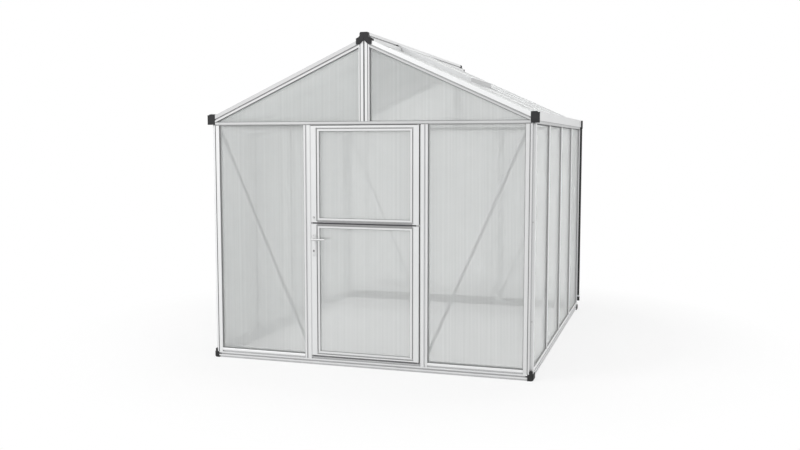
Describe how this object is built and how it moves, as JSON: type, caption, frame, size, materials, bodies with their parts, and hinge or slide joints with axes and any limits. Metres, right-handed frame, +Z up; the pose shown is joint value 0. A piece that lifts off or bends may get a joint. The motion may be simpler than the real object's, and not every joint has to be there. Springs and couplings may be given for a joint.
{
  "type": "greenhouse",
  "caption": "Aluminium greenhouse with twin-wall panes, a split stable door, side gutters with downpipes and a closed roof vent",
  "frame": {"origin": "middle of the footprint over all, on the ground under the base frame", "axes": "+Z up, -Y to the front with the door, +X to the side of the hinges, as seen from the front the right side"},
  "size_m": [2.612, 3.084, 2.5299],
  "materials": {
    "frame": "mill finish, light silver",
    "caps": "moulded dark grey",
    "pipes": "moulded black",
    "hardware": "brushed",
    "wall_panes": "twin-wall sheet with fine upright ribs, translucent",
    "roof_panes": "twin-wall sheet with fine ribs down the slope, translucent"
  },
  "bodies": {
    "house": {"base_ends": "frame", "base_sides": "frame", "base_corner_caps": "caps", "corner_posts": "frame", "door_posts": "frame", "back_mullions": "frame", "left_wall_bars": "frame", "right_wall_bars": "frame", "end_sills": "frame", "side_sills": "frame", "threshold": "frame", "eave_rails": "frame", "tie_rails": "frame", "gable_rafters": "frame", "gable_posts": "frame", "left_roof_bars": "frame", "right_roof_bars": "frame", "ridge": "frame", "ridge_caps": "caps", "left_gutter": "frame", "right_gutter": "frame", "gutter_caps": "caps", "gutter_outlets": "pipes", "downpipes": "pipes", "pipe_clips": "hardware", "front_wall_panes": "wall_panes", "back_wall_panes": "wall_panes", "left_wall_panes": "wall_panes", "right_wall_panes": "wall_panes", "gable_panes": "wall_panes", "left_roof_panes": "roof_panes", "right_roof_panes": "roof_panes", "vent_curb": "frame", "vent_frame": "frame", "vent_pane": "roof_panes", "wall_braces": "frame", "hinge_pivots": "hardware"},
    "lower_leaf": {"lower_leaf_frame": "frame", "lower_leaf_pane": "wall_panes", "lock_plates": "hardware", "lock_cylinder": "hardware"},
    "upper_leaf": {"upper_leaf_frame": "frame", "upper_leaf_pane": "wall_panes", "leaf_bolt": "caps"},
    "lever": {"lever_handle": "hardware"}
  },
  "joints": [
    {"name": "lower_door_hinge", "type": "hinge", "parent": "house", "child": "lower_leaf", "pos_m": [0.416, -1.48, 0.6], "axis": [0, 0, 1], "range_deg": [0, 100]},
    {"name": "upper_door_hinge", "type": "hinge", "parent": "house", "child": "upper_leaf", "pos_m": [0.416, -1.48, 1.48], "axis": [0, 0, 1], "range_deg": [0, 100]},
    {"name": "lever_turn", "type": "hinge", "parent": "lower_leaf", "child": "lever", "pos_m": [-0.411, -1.473, 0.98], "axis": [0, 1, 0], "range_deg": [0, 40], "stiffness_Nm_per_rad": 0.3, "springref_deg": -20.05}
  ]
}
